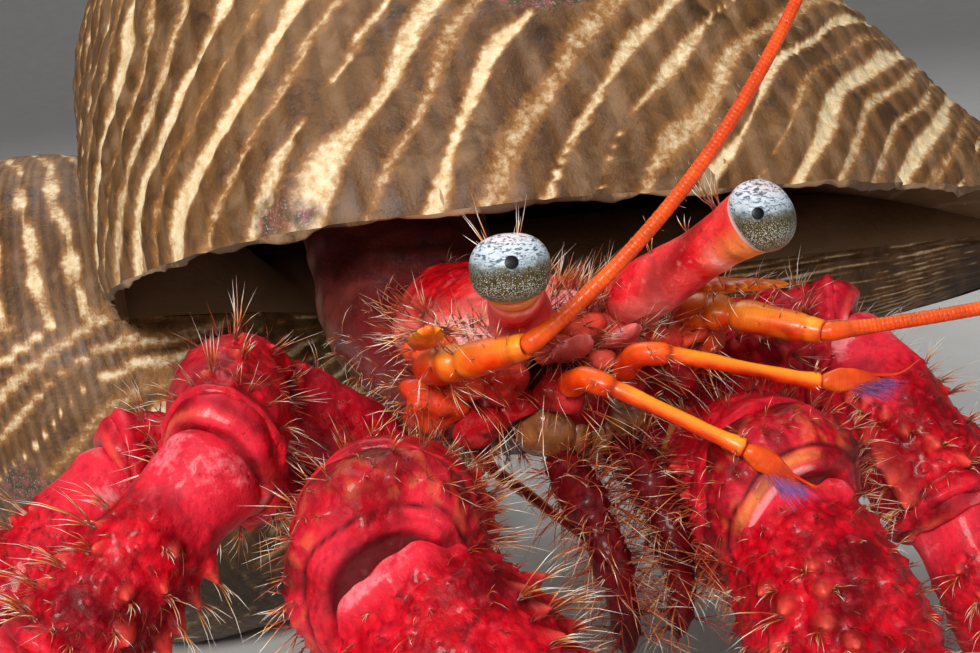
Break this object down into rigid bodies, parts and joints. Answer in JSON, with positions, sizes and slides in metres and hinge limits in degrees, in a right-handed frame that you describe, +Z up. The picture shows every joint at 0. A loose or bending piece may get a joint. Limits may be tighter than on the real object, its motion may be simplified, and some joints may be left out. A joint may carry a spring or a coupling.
{
  "type": "hermit crab",
  "caption": "Still life-size model of a red hermit crab standing on its legs under a large ribbed brown tun shell.",
  "frame": {"origin": "middle of the footprint at floor level", "axes": "+Z up, the crab faces -Y, its left side is +X"},
  "size_m": [0.1488, 0.1621, 0.1193],
  "materials": {
    "carapace_red": "hard glossy red carapace with pale pink patches",
    "limb_red": "hard glossy red leg shell with tubercles and bristles",
    "feeler_orange": "smooth translucent orange",
    "cornea": "silver grey speckled faceted eye with a dark spot",
    "mouthpart_red": "dark red semi-gloss",
    "soft_body": "soft skin, satin",
    "shell_brown": "brown shell with cream spiral ribs and patchy crust"
  },
  "bodies": {
    "root": {"eyestalk_right": "carapace_red", "eyestalk_left": "carapace_red", "cornea_right": "cornea", "cornea_left": "cornea", "ocular_scale_right": "carapace_red", "ocular_scale_left": "carapace_red", "antenna_right_peduncle": "feeler_orange", "antenna_left_peduncle": "feeler_orange", "antenna_right_flagellum": "feeler_orange", "antenna_left_flagellum": "feeler_orange", "antennal_scale_right": "feeler_orange", "antennal_scale_left": "feeler_orange", "antennule_right_peduncle": "feeler_orange", "antennule_left_peduncle": "feeler_orange", "antennule_right_flagella": "feeler_orange", "antennule_left_flagella": "feeler_orange", "maxilliped_right": "mouthpart_red", "maxilliped_left": "mouthpart_red", "carapace_shield": "carapace_red", "cephalothorax": "carapace_red", "carapace_rear": "soft_body", "abdomen": "soft_body", "claw_right_merus": "limb_red", "claw_right_carpus": "limb_red", "claw_right_palm": "limb_red", "claw_right_dactyl": "limb_red", "claw_left_merus": "limb_red", "claw_left_carpus": "limb_red", "claw_left_palm": "limb_red", "claw_left_dactyl": "limb_red", "leg2_right_merus": "limb_red", "leg2_right_carpus": "limb_red", "leg2_right_propodus": "limb_red", "leg2_right_dactyl": "limb_red", "leg2_left_merus": "limb_red", "leg2_left_carpus": "limb_red", "leg2_left_propodus": "limb_red", "leg2_left_dactyl": "limb_red", "leg3_right_merus": "limb_red", "leg3_right_carpus": "limb_red", "leg3_right_propodus": "limb_red", "leg3_right_dactyl": "limb_red", "leg3_left_merus": "limb_red", "leg3_left_carpus": "limb_red", "leg3_left_propodus": "limb_red", "leg3_left_dactyl": "limb_red", "leg4_right": "limb_red", "leg4_left": "limb_red", "shell": "shell_brown"}
  },
  "joints": []
}
